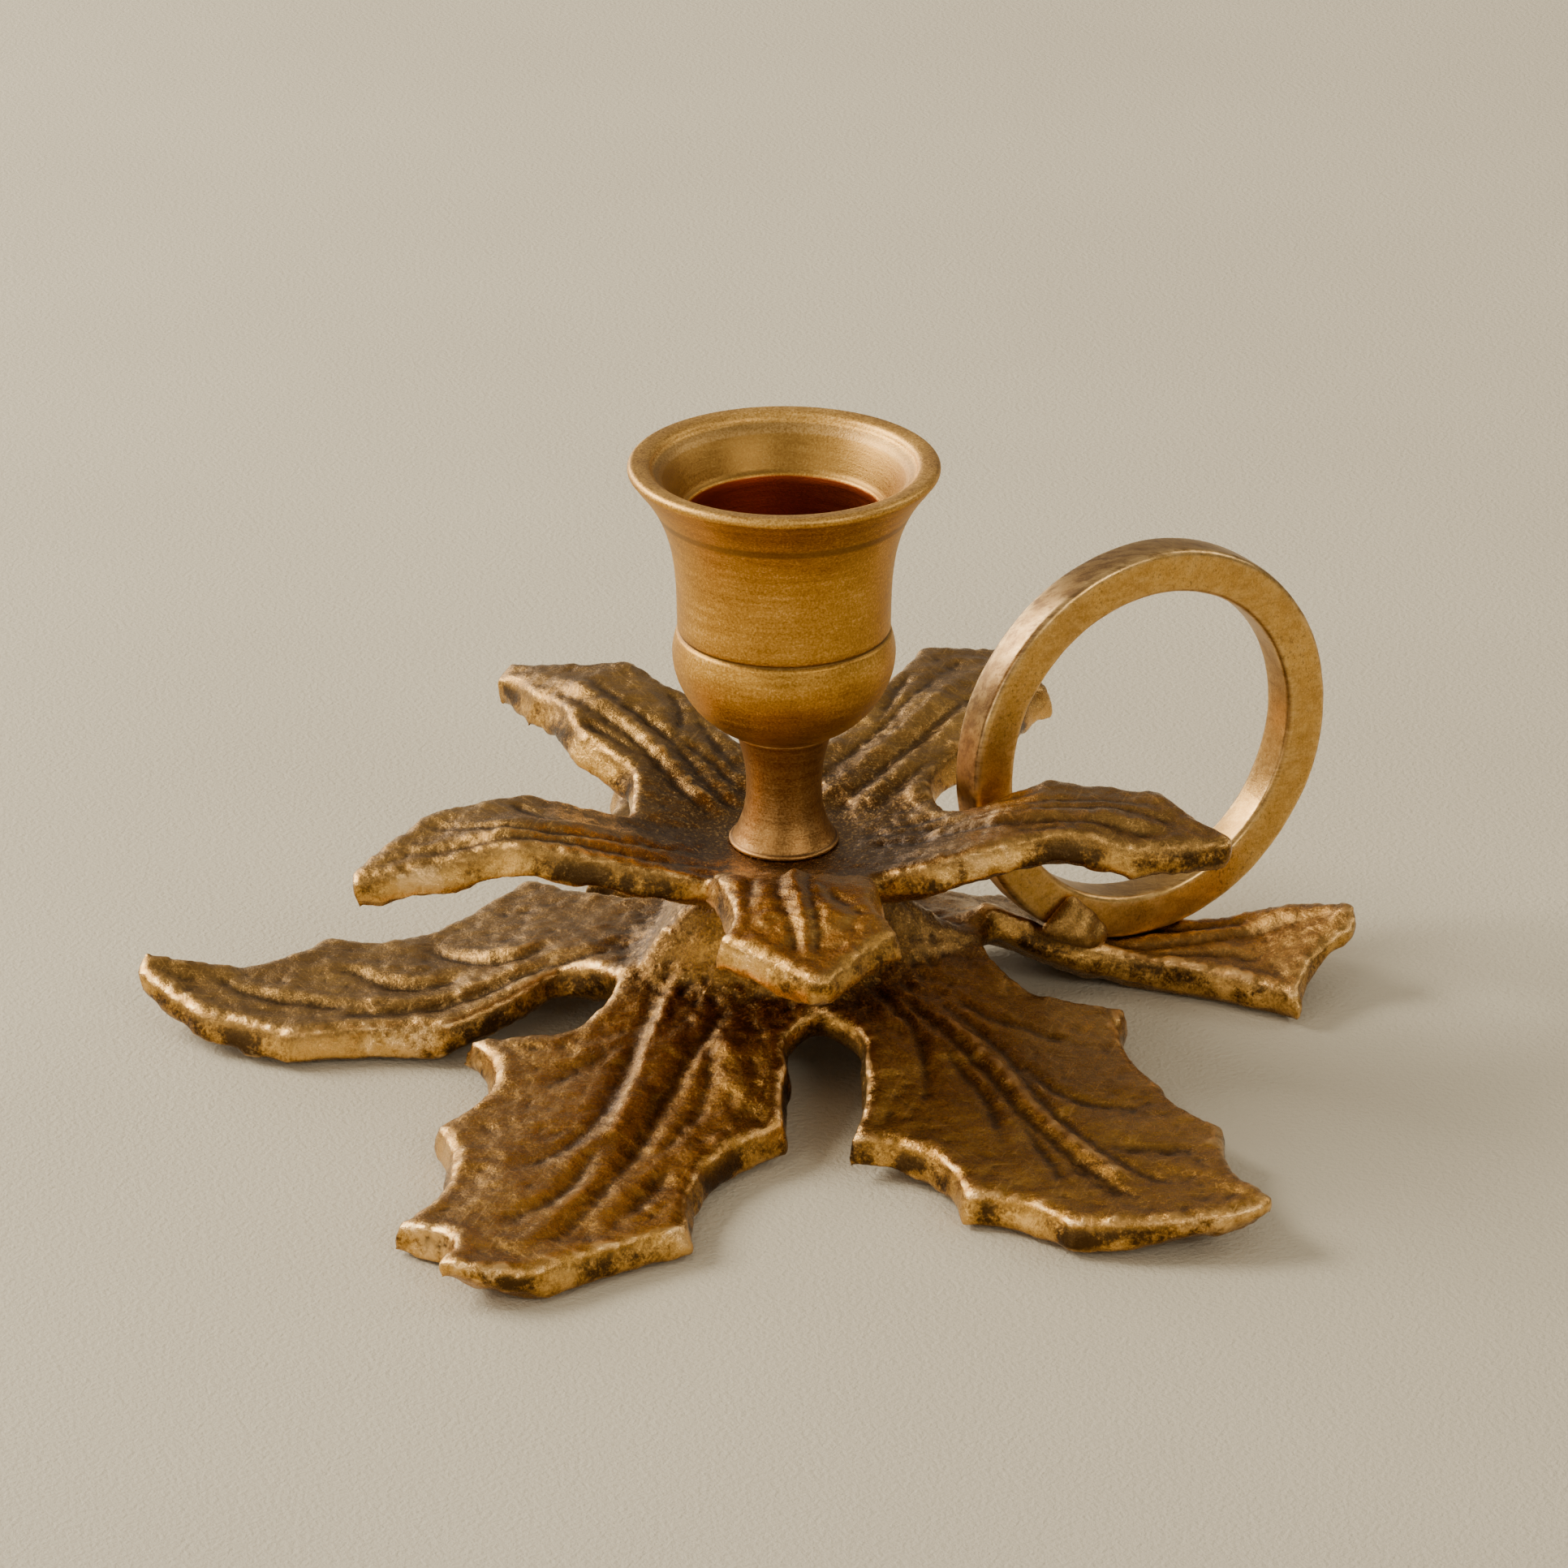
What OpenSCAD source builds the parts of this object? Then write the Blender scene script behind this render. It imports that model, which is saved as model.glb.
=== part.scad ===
// Leaf chamberstick: a turned brass candle cup on two cast five-lobed leaves, with a finger ring.
// Origin: on the cup's axis at table level. +Z is up and the finger ring stands along +X.

/* [Candle cup] */
// Diameter of the bore that holds the candle
candle_bore_d = 23; // [20:0.5:26]
// Outer diameter of the flared lip
lip_d = 36.6; // [32:0.2:42]
// Height of the cup above its seam with the stem
cup_h = 33.9; // [30:0.1:50]
// Depth of the straight bore below the flared mouth
candle_bore_depth = 18; // [15:1:25]

/* [Stem] */
// Height of the waisted stem between the upper leaf and the cup
stem_h = 14.6; // [8:0.1:30]
// Diameter of the narrowest part of the stem
waist_d = 9; // [8:0.5:14]
// Diameter of the stem's foot
foot_d = 13.2; // [12:0.2:20]

/* [Leaves] */
// Height of the upper leaf's hub above the table
upper_hub_z = 25; // [22:0.5:30]
// Wall thickness of the cast leaves at the hub
hub_t = 4; // [3:0.5:6]
// Wall thickness of the lobes at their rims
rim_t = 4.6; // [3:0.2:6]
// How far the lobes' lower edges flare out past the upper ones
rim_flare = 1.8; // [0:0.2:3]
// How far both leaves are turned about the cup's axis
leaf_turn = 8; // [0:1:12]
// Radius of the flat seat at the middle of each leaf
hub_r = 8; // [7:0.5:10]

/* [Finger ring] */
// Outer diameter of the ring
ring_od = 50.6; // [40:0.2:60]
// Inner diameter of the ring
ring_id = 39.4; // [30:0.2:50]
// Width of the ring along its axis
ring_w = 5.4; // [3:0.2:8]
// Distance from the cup's axis to the ring's centre
ring_x = 47.1; // [40:0.1:60]
// Sideways offset of the ring's centre from the cup's axis
ring_y = 0.4; // [-8:0.1:8]
// Height of the ring's centre above the table
ring_z = 30; // [25:0.2:40]
// How far the ring is turned out of the radial direction
ring_yaw = 8; // [-12:1:12]

/* [Fixings] */
// Diameter of the threaded tie rod
rod_d = 4; // [3:0.5:5]

/* [Hidden] */
$fn = 96;
brass = [0.66, 0.49, 0.26];
dark_brass = [0.48, 0.35, 0.2];
light_brass = [0.76, 0.58, 0.33];
cup_z = upper_hub_z + stem_h;
lower_hub_z = upper_hub_z - hub_t;
bore_r = candle_bore_d / 2;
lip_r = lip_d / 2;
waist_r = waist_d / 2;
foot_r = foot_d / 2;
washer_t = 0.8;
nut_h = 3.2;
nut_flats = 7;
rest_z = 0.45;
rod_clear_d = rod_d + 0.3;
rod_top_z = cup_z + 7;
rod_low_z = lower_hub_z - hub_t - washer_t - nut_h - 0.8;

// How finely the leaves are meshed: steps along each scallop, across a lobe, and hub rings.
scallop_steps = 4;
teeth = 5;
lobe_cols = 10;
hub_rows = 5;
lobe_rows = hub_rows + teeth * scallop_steps;

// The notches between the lobes, anticlockwise from the ring's side. Each is [x, y, height].
lower_notches = [[23.4, -7.6, 9.6], [17, 10, 10], [-4, 21.5, 9.5],
    [-20.7, 4.4, 9.9], [-5, -17.5, 10.5]];
upper_notches = [[1.5, -18.5, 27], [18.6, -6.8, 27.2], [8.5, 16, 27.2],
    [-15.5, 10.5, 27.2], [-16, -10.5, 27.4]];

// Each lobe is [direction, crown, clockwise edge, anticlockwise edge]. An edge point is a tooth:
// [distance out, distance across, height, how deep the scallop before it is cut].
lower_lobes = [
    [-14, 0,
        [[26.5, 2.4, 11.8, 0], [37.3, -0.9, 6.8, 0.2], [42.6, -2.4, 5.1, 0.2], [59.6, -17, 4.4, 1],
            [69.9, -9, 8.6, 2]],
        [[25, 15, 8, 1], [33, 17, 5.6, 0.6], [45, 9, 4.4, 1.6], [58, 4, 5.4, 0.8],
            [70.8, -5.6, 10.2, -1.4]]],
    [68, 1.2,
        [[26, -12, 8, 1.6], [33, -20, 5.4, 0.6], [52, -16.5, 4.4, 3.6], [66, -9, 4.4, 1.6],
            [75.4, 0.8, 6, 1.8]],
        [[25, 12, 8, 1.6], [33, 20, 5.4, 0.6], [50, 17.5, 4.4, 3.4], [63, 13, 4.6, 1.6],
            [75.2, 3.4, 6, 1.4]]],
    [147, 0.8,
        [[33, -25, 7, 1.5], [44.2, -11, 6, 0.2], [56.6, -9.4, 6, 1.9], [66, -0.6, 6.2, 1.4],
            [77.4, 0.6, 8.8, 0.6]],
        [[27, 2.6, 8.4, 1.4], [40, 12.2, 5, -0.6], [58.4, 14.4, 4.6, 0.8], [69.4, 10.6, 5.2, 0.3],
            [78.2, 3.2, 7.2, 0]]],
    [212, 1.2,
        [[25, -14.8, 7, 1.2], [30.2, -26.2, 5.6, 0.4], [49.2, -19.2, 4.4, 5], [72, -11, 4, 3.8],
            [79, -1.6, 5.6, 4.4]],
        [[22.4, 12, 8, 2.2], [31.4, 16.4, 5, 0.4], [57, 17.8, 4.2, 4.2], [74, 8.4, 4.4, 0.6],
            [78.6, 1.6, 5.6, -0.6]]],
    [284, 1.2,
        [[24.5, -10.2, 8.4, 2.4], [33.6, -21.4, 5.6, 0.8], [51.6, -20.6, 4.4, 3.8], [64.4, -17, 4.4, 1.6],
            [79, -1.8, 6.2, -1.4]],
        [[24, 18.4, 6.6, 1], [33, 24.7, 5.4, 0.4], [48, 14.4, 5, 2.2], [61.8, 10.8, 5.4, 1.4],
            [78.9, 0.8, 6.8, 2.4]]]
];
upper_lobes = [
    [-39, 0.8,
        [[20.1, -12.9, 29.4, 0], [26.3, -11.3, 31, 0], [34.2, -7.6, 32, 0.2], [42, -6.9, 30, 0.4],
            [53.6, -1, 28.8, -0.2]],
        [[23.4, 5.6, 28.4, 1], [31, 8.8, 31, -0.2], [44.2, 8.6, 30.5, 0.6], [48.4, 4, 29.8, 0.2],
            [53.6, 0.8, 28.8, 0.1]]],
    [24, 1,
        [[24, -7.2, 29, 2.2], [34, -9, 30.4, 0.3], [48, -5.6, 29, 1.2], [51, -2, 29.2, 0.4],
            [53.6, 1, 29.6, 0]],
        [[24, 7.6, 29, 0.6], [31, 9.6, 31, 0.2], [45.4, 11.8, 31.2, 1.2], [51.3, 5.8, 30.4, 0.5],
            [54, 3, 29.8, 0]]],
    [98, 1,
        [[24, -8.6, 29, 0.6], [32, -9.6, 30.4, 0.2], [41, -7.8, 32.2, 0.6], [48, -2, 30.8, 0.6],
            [53.4, 1.4, 30.2, 0.2]],
        [[19.8, 7.4, 29, 0.2], [29.4, 8.6, 30.6, 0.3], [33.6, 7.2, 31, 0.2], [43, 5.8, 30, 0.8],
            [52.2, 4.6, 29.2, 0.6]]],
    [167, 0.8,
        [[24.6, -7.6, 29.4, 0.2], [29.4, -8.8, 31, 0.1], [36.5, -8.2, 31, 0.2], [41.8, -7.7, 30.6, 0.1],
            [53, 0.6, 28.4, -0.2]],
        [[19, 11.6, 28.8, 0], [26, 9.8, 30.5, 0], [34.1, 6.4, 31.6, 0], [40.1, 4.5, 29.8, 0.2],
            [53.6, 2.6, 27.6, -0.1]]],
    [245, 0.8,
        [[18.5, -9.8, 29.6, 0], [23, -9.4, 31, 0], [31.6, -8.4, 31, 0.1], [37, -10.6, 30, 0.6],
            [46.8, -0.9, 29, 0.2]],
        [[23, 8.4, 30, 0.4], [28.4, 8, 31, 0], [34.3, 8.1, 31, 0.2], [37.4, 9.8, 30.4, 0.2],
            [46.8, 0.9, 29, 0.4]]]
];

function turn(a, p) = [p.x * cos(a) - p.y * sin(a), p.x * sin(a) + p.y * cos(a), p.z];
function mix(a, b, t) = a + (b - a) * t;
function ease(t) = t * t * (3 - 2 * t);

// One scalloped edge: from the notch through its teeth, cut inward by each point's depth.
function scallop(a, b, side) =
    let (d = [b.x - a.x, b.y - a.y], n = [-d.y, d.x] / norm(d))
    [for (s = [1 : scallop_steps])
        let (t = s / scallop_steps, cut = side * b[3] * 4 * t * (1 - t))
        [mix(a.x, b.x, t) + n.x * cut, mix(a.y, b.y, t) + n.y * cut, mix(a.z, b.z, t)]];
function edge(start, points, side) =
    let (all = concat([start], points))
    concat([[start.x, start.y, start.z]], [for (k = [0 : teeth - 1]) each scallop(all[k], all[k + 1], side)]);

// One lobe's upper surface, as rows from the hub to the tip, with its edges and midrib height.
function lobe_top(lobe, cw_notch, ccw_notch, hub_z) =
    let (
        cw = edge(turn(-lobe[0], cw_notch), lobe[2], 1),
        ccw = edge(turn(-lobe[0], ccw_notch), lobe[3], -1),
        last = teeth * scallop_steps
    )
    concat(
        [for (i = [1 : hub_rows - 1])
            let (f = (i - 1) / (hub_rows - 1))
            [for (j = [0 : lobe_cols])
                let (
                    q = mix(cw[0], ccw[0], j / lobe_cols),
                    r = mix(hub_r, norm([q.x, q.y]), f),
                    u = [q.x, q.y] / norm([q.x, q.y])
                )
                turn(lobe[0], [u.x * r, u.y * r, mix(hub_z, q.z, mix(f, ease(f), 0.6))])]],
        [for (i = [0 : last])
            let (
                a = cw[i],
                b = ccw[i],
                u = i / last,
                w = b.y - a.y,
                mid = mix((cw[0].y + ccw[0].y) / 2, (cw[last].y + ccw[last].y) / 2, u),
                m = min(max(mid, a.y + 0.3 * w), b.y - 0.3 * w),
                crown = lobe[1] * sin(180 * min(1, u * 1.1))
            )
            [for (j = [0 : lobe_cols])
                let (
                    v = j / lobe_cols,
                    y = v < 0.5 ? mix(a.y, m, 2 * v) : mix(m, b.y, 2 * v - 1),
                    rib = j == lobe_cols / 2 ? 0.35 * min(1, 3 * u) * (1 - u) : 0
                )
                turn(lobe[0], [mix(a.x, b.x, v), y, mix(a.z, b.z, v) + crown * 4 * v * (1 - v) + rib])]]
    );

// The lower surface lies one wall thickness below and flares a little outward. Where it comes
// nearer the table than the rest height, it is flat on the table.
function lobe_bottom(lobe, top, taper) =
    [for (i = [0 : lobe_rows - 1])
        let (u = max(0, i - hub_rows + 1) / (lobe_rows - hub_rows),
            flare = rim_flare * min(1, 6 * u) * (1 - 0.7 * pow(u, 6)),
            t = u > 0 ? rim_t - taper * pow(u, 6) : hub_t)
        [for (j = [0 : lobe_cols])
            let (p = turn(-lobe[0], top[i][j]), v = j / lobe_cols, z = p.z - t)
            turn(lobe[0], [p.x + flare * pow(u, 3) / 2, p.y + flare * (2 * v - 1), z < rest_z ? 0 : z])]];

// The whole leaf as one closed surface. Neighbouring lobes share the points of their common border.
module leaf(lobes, notches, hub_z, taper) {
    n = len(lobes);
    cols = lobe_cols + 1;
    rows = lobe_rows;
    tops = [for (k = [0 : n - 1]) lobe_top(lobes[k], notches[k], notches[(k + 1) % n], hub_z)];
    lows = [for (k = [0 : n - 1]) lobe_bottom(lobes[k], tops[k], taper)];
    top_points = concat([[0, 0, hub_z]], [for (k = tops) for (i = k) for (p = i) p]);
    low_points = concat([[0, 0, hub_z - hub_t]], [for (k = lows) for (i = k) for (p = i) p]);
    half = len(top_points);
    function at(k, i, j) = (j == lobe_cols && i < hub_rows)
        ? 1 + ((k + 1) % n) * rows * cols + i * cols
        : 1 + k * rows * cols + i * cols + j;
    skin = [for (k = [0 : n - 1]) for (i = [0 : rows - 2]) for (j = [0 : lobe_cols - 1])
        each [[at(k, i, j), at(k, i, j + 1), at(k, i + 1, j + 1)],
              [at(k, i, j), at(k, i + 1, j + 1), at(k, i + 1, j)]]];
    fan = [for (k = [0 : n - 1]) for (j = [0 : lobe_cols - 1]) [0, at(k, 0, j + 1), at(k, 0, j)]];
    rim = [for (k = [0 : n - 1]) each concat(
        [for (i = [hub_rows - 1 : rows - 2]) [at(k, i, 0), at(k, i + 1, 0)]],
        [for (j = [0 : lobe_cols - 1]) [at(k, rows - 1, j), at(k, rows - 1, j + 1)]],
        [for (i = [hub_rows - 1 : rows - 2]) [at(k, i + 1, lobe_cols), at(k, i, lobe_cols)]])];
    upper = concat(skin, fan);
    lower = [for (f = upper) [f[2] + half, f[1] + half, f[0] + half]];
    walls = [for (e = rim) each [[e[0], e[1], e[1] + half], [e[0], e[1] + half, e[0] + half]]];
    polyhedron(points = concat(top_points, low_points), faces = concat(upper, lower, walls), convexity = 8);
}

module lower_leaf() {
    color(dark_brass)
    difference() {
        rotate([0, 0, leaf_turn]) leaf(lower_lobes, lower_notches, lower_hub_z, 1.6);
        translate([0, 0, lower_hub_z - hub_t - 1]) cylinder(d = rod_clear_d, h = hub_t + 2);
    }
}

module upper_leaf() {
    color(brass)
    difference() {
        rotate([0, 0, leaf_turn]) leaf(upper_lobes, upper_notches, upper_hub_z, 0.5);
        translate([0, 0, upper_hub_z - hub_t - 1]) cylinder(d = rod_clear_d, h = hub_t + 2);
    }
}

// Waisted stem, drawn as a half profile from its foot up to the seam under the cup.
module cup_stem() {
    color(brass)
    translate([0, 0, upper_hub_z])
    rotate_extrude()
    polygon(concat(
        [[rod_clear_d / 2, 0], [foot_r - 0.5, 0]],
        [for (a = [-90 : 30 : 30]) [foot_r - 0.3 + 0.3 * cos(a), 0.3 + 0.3 * sin(a)]],
        [for (t = [0.04 : 0.06 : 0.94])
            [waist_r + (t < 0.5 ? (foot_r - waist_r) * pow(1 - t / 0.5, 2.3)
                                : 1.4 * pow((t - 0.5) / 0.5, 2)), stem_h * t]],
        [[waist_r + 1.4, stem_h], [rod_clear_d / 2, stem_h]]
    ));
}

// Candle cup: bulb, groove, gently flaring body and rolled lip outside; bore and funnel inside.
module candle_cup() {
    bulb_z = 10.2;
    groove_z = 13;
    body_z = groove_z + 0.4;
    body_r = 12.6;
    body_rise = 19.2;
    lip_flare = 5.35;
    bore_top = cup_h - 6.4;
    lip_t = 0.7;
    color(light_brass)
    translate([0, 0, cup_z])
    rotate_extrude()
    polygon(concat(
        [[rod_d / 2, 0], [waist_r + 1.7, 0], [waist_r + 1.9, 0.35]],
        [for (a = [12 : 6 : 90])
            [waist_r + 1.9 + (11.3 - waist_r) * pow(sin(a), 1.5),
                0.35 + (bulb_z - 0.35) * (1 - cos(a))]],
        [for (a = [20 : 20 : 60]) [12.5 + 0.7 * cos(a * 1.3), bulb_z + (groove_z - bulb_z) * a / 70]],
        [[12.35, groove_z], [body_r, body_z]],
        [for (t = [0.08 : 0.07 : 0.93])
            [body_r + 0.2 * t + lip_flare * pow(t, 3.3), body_z + body_rise * t]],
        [for (a = [-45 : 22.5 : 90]) [lip_r - lip_t + lip_t * cos(a), cup_h - lip_t + lip_t * sin(a)]],
        [[lip_r - 1.9, cup_h], [lip_r - 2.5, cup_h - 0.2], [lip_r - 2.8, cup_h - 0.7],
            [lip_r - 3.1, cup_h - 1]],
        [for (t = [0.15 : 0.17 : 0.83])
            [mix(lip_r - 3.1, bore_r + 0.5, pow(t, 0.8)), mix(cup_h - 1, bore_top + 0.4, t)]],
        [[bore_r + 0.3, bore_top], [bore_r, bore_top], [bore_r, bore_top - candle_bore_depth]],
        [[rod_d / 2 + 2, bore_top - candle_bore_depth - 0.8], [0, bore_top - candle_bore_depth - 0.8]],
        [[0, 7], [rod_d / 2, 7]]
    ));
}

// Finger ring: a flat bar with rounded edges bent into a circle that stands on edge.
module on_ring() {
    translate([ring_x, ring_y, ring_z]) rotate([0, 0, ring_yaw]) rotate([90, 0, 0]) children();
}

module ring_handle() {
    corner = 1;
    w = (ring_od - ring_id) / 4 - corner;
    h = ring_w / 2 - corner;
    color(light_brass)
    on_ring()
    rotate_extrude($fn = 128)
    translate([(ring_od + ring_id) / 4, 0])
    polygon([for (q = [0 : 3]) for (a = [0 : 30 : 90])
        let (sx = (q == 0 || q == 3) ? 1 : -1, sy = q < 2 ? 1 : -1, b = q * 90 + a)
        [sx * w + corner * cos(b), sy * h + corner * sin(b)]]);
}

// Brazed lug: a wedge of metal between the ring's front face, left of its foot, and the leaf.
module ring_lug() {
    color(brass)
    difference() {
        on_ring() hull() {
            translate([-11.8, -17.8, 2.8]) sphere(r = 1, $fn = 24);
            translate([-14.8, -20.8, 3.4]) sphere(r = 1.2, $fn = 24);
            translate([-8.4, -22.8, 4]) sphere(r = 1.4, $fn = 24);
            translate([-11, -22.2, 4.8]) scale([1.5, 0.9, 1]) sphere(r = 1.1, $fn = 24);
        }
        on_ring() difference() {
            cylinder(d = ring_od, h = ring_w, center = true, $fn = 128);
            cylinder(d = ring_id, h = ring_w * 2, center = true, $fn = 128);
        }
    }
}

module tie_rod() {
    color(dark_brass)
    translate([0, 0, rod_low_z]) {
        cylinder(d = rod_d - 0.8, h = 0.4);
        translate([0, 0, 0.4]) cylinder(d = rod_d, h = rod_top_z - rod_low_z - 0.4);
    }
}

module washer() {
    color(brass)
    translate([0, 0, lower_hub_z - hub_t - washer_t])
    difference() {
        cylinder(d = 10, h = washer_t);
        translate([0, 0, -1]) cylinder(d = rod_clear_d, h = washer_t + 2);
    }
}

module nut() {
    color(light_brass)
    translate([0, 0, lower_hub_z - hub_t - washer_t - nut_h])
    difference() {
        intersection() {
            cylinder(d = nut_flats / cos(30), h = nut_h, $fn = 6);
            translate([0, 0, -0.6]) cylinder(d1 = nut_flats - 1, d2 = nut_flats + 7, h = nut_h + 0.6);
        }
        translate([0, 0, -1]) cylinder(d = rod_d, h = nut_h + 2);
    }
}

candle_cup();
cup_stem();
upper_leaf();
lower_leaf();
ring_handle();
ring_lug();
tie_rod();
washer();
nut();
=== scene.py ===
"""Looks of the brass leaf chamberstick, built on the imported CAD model. Metres, +Z up."""

import math

import bpy
import numpy as np
from mathutils import Matrix, Vector, kdtree, noise


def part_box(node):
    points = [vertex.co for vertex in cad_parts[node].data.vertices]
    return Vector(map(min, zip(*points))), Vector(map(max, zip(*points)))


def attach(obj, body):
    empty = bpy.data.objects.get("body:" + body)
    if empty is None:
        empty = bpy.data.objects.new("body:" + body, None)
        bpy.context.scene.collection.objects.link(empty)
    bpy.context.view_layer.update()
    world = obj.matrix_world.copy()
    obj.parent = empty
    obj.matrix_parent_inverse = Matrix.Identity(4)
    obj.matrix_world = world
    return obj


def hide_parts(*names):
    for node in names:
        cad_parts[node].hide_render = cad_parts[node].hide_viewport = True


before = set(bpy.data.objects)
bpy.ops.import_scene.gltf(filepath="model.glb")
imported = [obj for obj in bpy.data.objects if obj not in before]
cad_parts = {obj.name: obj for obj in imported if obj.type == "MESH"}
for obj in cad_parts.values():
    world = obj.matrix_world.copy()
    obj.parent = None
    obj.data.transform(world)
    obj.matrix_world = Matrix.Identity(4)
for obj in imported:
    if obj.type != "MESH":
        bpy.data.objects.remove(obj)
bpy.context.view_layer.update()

MM = 0.001


def node_place(node):
    """Lowest corner and centre of a CAD node, in millimetres."""
    low, high = (np.array(corner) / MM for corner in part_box(node))
    return low, (low + high) / 2


CUP_BASE = node_place("candle_cup")[0][2]
STEM_FOOT = node_place("cup_stem")[0][2]
RING_CENTRE = node_place("ring_handle")[1]
RING_YAW = 8  # degrees the ring is turned out of the radial direction
BORE_RADIUS = 11.5
MOUTH = CUP_BASE + 27.6  # height at which the funnel meets the bore
GROOVE = CUP_BASE + 12.95

LOOK_AT = Vector((0, 0, 32.2 * MM))
CAMERA_TURN = 22  # degrees the camera stands clockwise of straight in front (-Y)
CAMERA_RISE = 24.5
CAMERA_DISTANCE = 0.8

# Veins of the leaves as plan points in millimetres. Each is (width, height, points): a raised
# rib has a positive height and a furrow a negative one.
LOWER_VEINS = [
    # front left lobe
    (1.0, 0.75, [(-14.9, -3.5), (-20.7, -10.3), (-26.6, -19), (-33.4, -29.2), (-40.4, -38.6),
                 (-50.9, -48.4)]),
    (1.1, -0.75, [(-12.2, -11.2), (-21.5, -20), (-28.5, -29), (-35.5, -37.4), (-47.1, -48.3)]),
    (1.3, -0.7, [(-18, -3.5), (-22.7, -10.5), (-28.2, -18.1), (-33.9, -25.6), (-40, -29.8), (-45.2, -31.1)]),
    (1.2, -0.6, [(-33.8, -30.2), (-39.4, -35.9), (-45.5, -40.5), (-51.4, -42.3)]),
    (1.2, -0.35, [(-24.9, -11), (-30.2, -12.9), (-35.9, -14.4)]),
    (1.1, -0.5, [(-16.5, -17), (-18.7, -22.9), (-23.3, -28.8), (-29.6, -35)]),
    (1.2, 0.6, [(-14, -15), (-15.2, -23.8), (-15.9, -29.7)]),
    (1.0, 0.5, [(-25, -34.9), (-20.8, -33.8), (-16.3, -32.1)]),
    (1.1, -0.45, [(-30.2, -38.2), (-34.7, -43.5), (-40, -47.6)]),
    # front right lobe
    (0.9, 0.55, [(9.5, -16), (13.3, -25), (14.8, -38.9), (15.9, -48.5), (17.8, -57.6), (20.9, -64.1)]),
    (0.8, -0.65, [(13.5, -18), (15.9, -25.2), (16.4, -33.4), (16.3, -42.9), (19, -56.9), (21.8, -62.9)]),
    (0.8, -0.65, [(9.4, -17), (12.5, -30.2), (13, -36.7), (13.2, -44.4), (15.5, -59.2), (16.9, -64)]),
    (0.9, -0.5, [(16.5, -18), (19.8, -22.6), (25.2, -27.8)]),
    (1.0, -0.7, [(17, -32), (18.2, -37), (20.8, -41.8), (26.3, -45.3)]),
    (1.0, -0.55, [(17.4, -50), (20, -53.5), (23.1, -54.8), (26.6, -57)]),
    (0.8, -0.5, [(5.8, -13.9), (7.6, -20.4), (6.4, -28.1), (3.8, -34.5)]),
    (0.8, -0.5, [(9.7, -28), (10.3, -37.2), (8, -47.2)]),
    (0.8, -0.4, [(12.4, -42), (11.5, -52), (11.2, -57)]),
    (0.7, -0.4, [(13.6, -54.5), (14.5, -59.5), (16.1, -64)]),
    # left lobe
    (1.0, 0.55, [(-16, 12.7), (-27.7, 12.7), (-36.2, 12), (-44.1, 12.9), (-51, 16.5), (-61.2, 25)]),
    (0.9, -0.55, [(-17, 9.5), (-28.4, 10.4), (-36.7, 10.2), (-44.4, 10.8), (-50.6, 12.7)]),
    (0.9, 0.6, [(-24.3, 17.6), (-28.4, 16.6), (-32.3, 19.6), (-35.5, 24.5)]),
    (0.8, -0.6, [(-25.2, 15.8), (-29.1, 15), (-33.8, 17.9), (-37, 23.4)]),
    (0.9, 0.5, [(-36.4, 16.6), (-40.7, 16.9), (-43.9, 19.5), (-46.6, 24)]),
    (0.8, -0.55, [(-37, 14.9), (-41.3, 15.3), (-45, 17.9), (-47.6, 22.4)]),
    (0.8, -0.5, [(-51.3, 14.9), (-56.4, 18.2), (-60.9, 22), (-63, 25.7)]),
    (0.9, -0.45, [(-30, 8), (-38, 4), (-46, 3.5)]),
    # ring's lobe
    (0.9, 0.5, [(22, 1), (34, -0.5), (46.1, -2.6), (52.2, -4.1), (58.7, -5.9), (67.6, -10.7)]),
    (0.8, -0.5, [(34, -2.6), (45, -4.7), (51.4, -6.1), (57.4, -7.3), (64, -10.6)]),
    (0.8, -0.4, [(44, 0.2), (50.1, -1.9), (54.7, -3.7), (59.6, -5)]),
    (0.8, -0.4, [(43, -7), (47.8, -8.5), (53.6, -10.4), (57, -14)]),
    # back lobe
    (1.0, 0.6, [(3, 14), (7, 28), (11, 42), (15, 56), (17.5, 70)]),
    (0.9, -0.5, [(5.5, 16), (9.3, 28), (13.3, 42), (17, 56)]),
    (0.9, -0.5, [(1, 16), (4.7, 28), (8.7, 42), (13, 57)]),
    (0.9, -0.45, [(10, 28), (16, 36), (24, 42)]),
    (0.9, -0.45, [(4, 28), (-1, 38), (-4, 48)]),
    (0.9, -0.45, [(14, 44), (20, 52), (25, 57)]),
    (0.9, -0.45, [(8.5, 43), (4, 52), (2, 60)]),
]
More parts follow.
